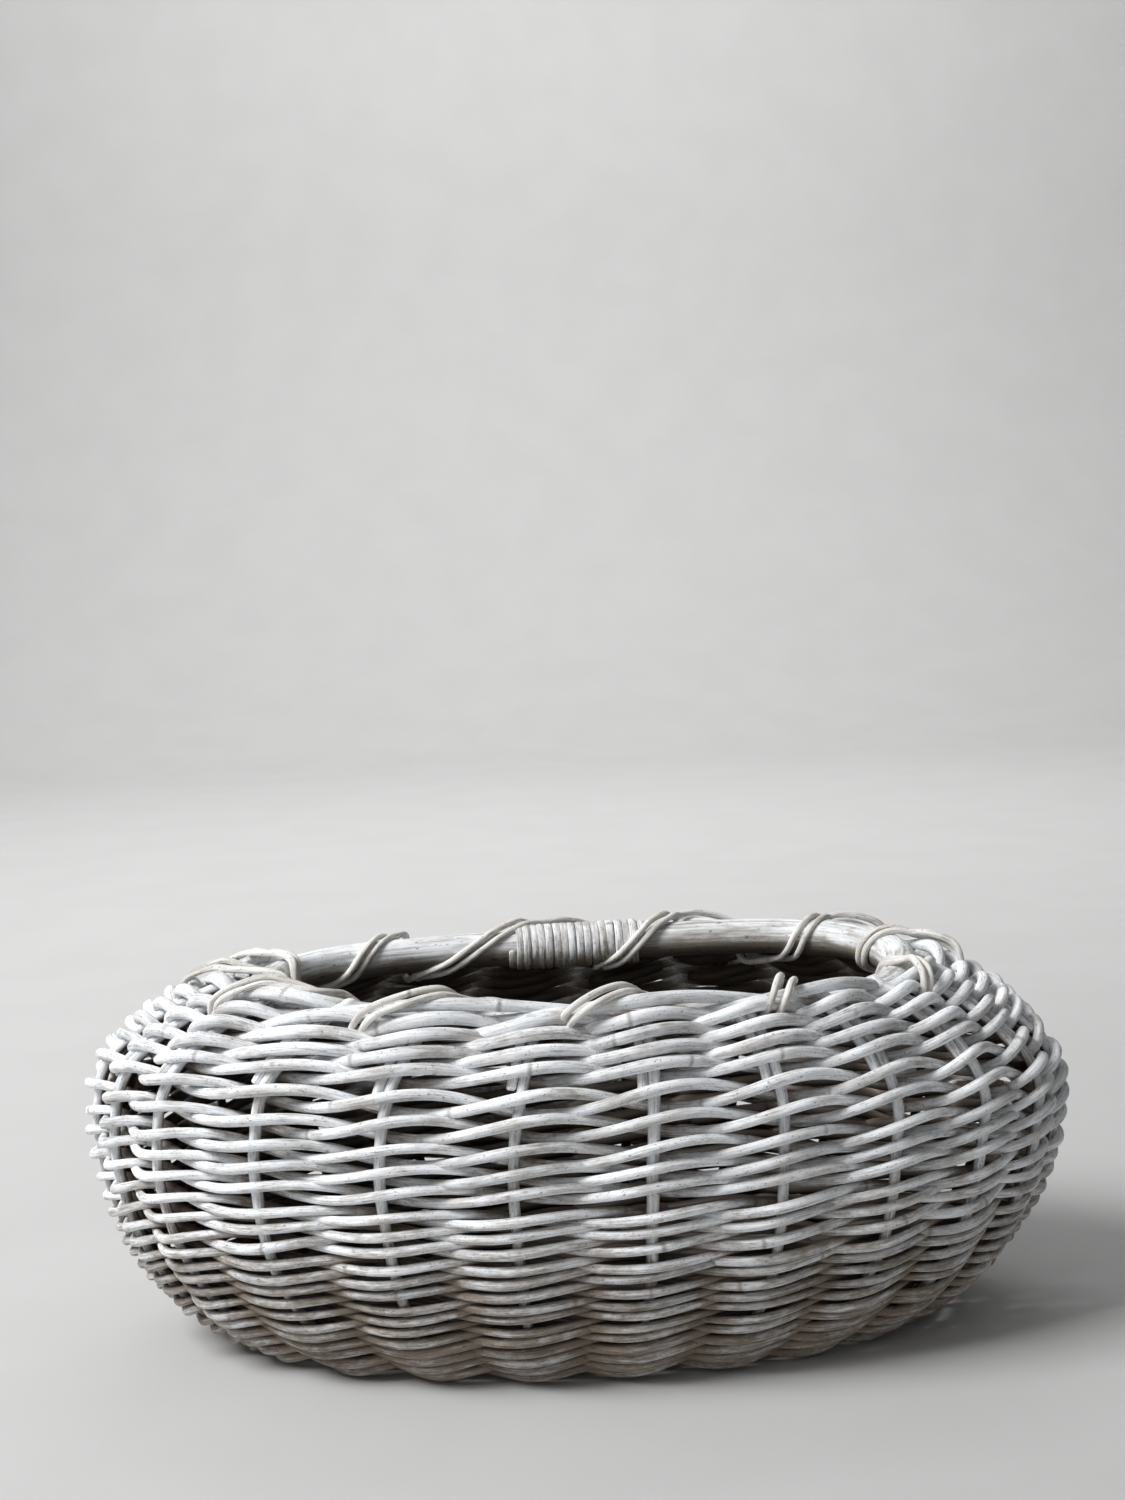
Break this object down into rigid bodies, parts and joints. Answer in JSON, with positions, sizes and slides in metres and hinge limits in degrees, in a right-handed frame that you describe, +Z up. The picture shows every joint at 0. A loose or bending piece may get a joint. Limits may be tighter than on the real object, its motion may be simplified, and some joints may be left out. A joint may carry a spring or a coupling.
{
  "type": "oval rattan basket",
  "caption": "Low oval bellied basket of weathered rattan canes twined round bent frame canes, with a lashed pole hoop inside its rim; an open table centerpiece.",
  "frame": {"origin": "bottom centre of the basket, on the surface it stands on", "axes": "+X along the long axis, +Y towards the back, where the hoop's scarf is, +Z up through the open mouth"},
  "size_m": [0.4756, 0.22, 0.1924],
  "materials": {
    "weaver_cane": "weathered, white-washed",
    "border_cane": "weathered, white-washed",
    "frame_cane": "weathered, white-washed",
    "base_cane": "weathered, bare",
    "hoop_pole": "weathered, white-washed",
    "lashing_cane": "weathered, white-washed"
  },
  "bodies": {
    "root": {"base_cane_01": "base_cane", "base_cane_02": "base_cane", "base_cane_03": "base_cane", "base_cane_04": "base_cane", "base_cane_05": "base_cane", "base_cane_06": "base_cane", "base_cane_07": "base_cane", "base_cane_08": "base_cane", "base_cane_09": "base_cane", "base_cane_10": "base_cane", "base_cane_11": "base_cane", "border_weaver_a": "border_cane", "border_weaver_b": "border_cane", "frame_cane_01": "frame_cane", "frame_cane_02": "frame_cane", "frame_cane_03": "frame_cane", "frame_cane_04": "frame_cane", "frame_cane_05": "frame_cane", "frame_cane_06": "frame_cane", "frame_cane_07": "frame_cane", "frame_cane_08": "frame_cane", "frame_cane_09": "frame_cane", "frame_cane_10": "frame_cane", "frame_cane_11": "frame_cane", "frame_cane_12": "frame_cane", "rim_hoop": "hoop_pole", "rim_lashing_a": "lashing_cane", "rim_lashing_b": "lashing_cane", "scarf_binding": "lashing_cane", "wall_weaver_a1": "weaver_cane", "wall_weaver_a2": "weaver_cane", "wall_weaver_a3": "weaver_cane", "wall_weaver_a4": "weaver_cane", "wall_weaver_a5": "weaver_cane", "wall_weaver_b1": "weaver_cane", "wall_weaver_b2": "weaver_cane", "wall_weaver_b3": "weaver_cane", "wall_weaver_b4": "weaver_cane", "wall_weaver_b5": "weaver_cane"}
  },
  "joints": []
}
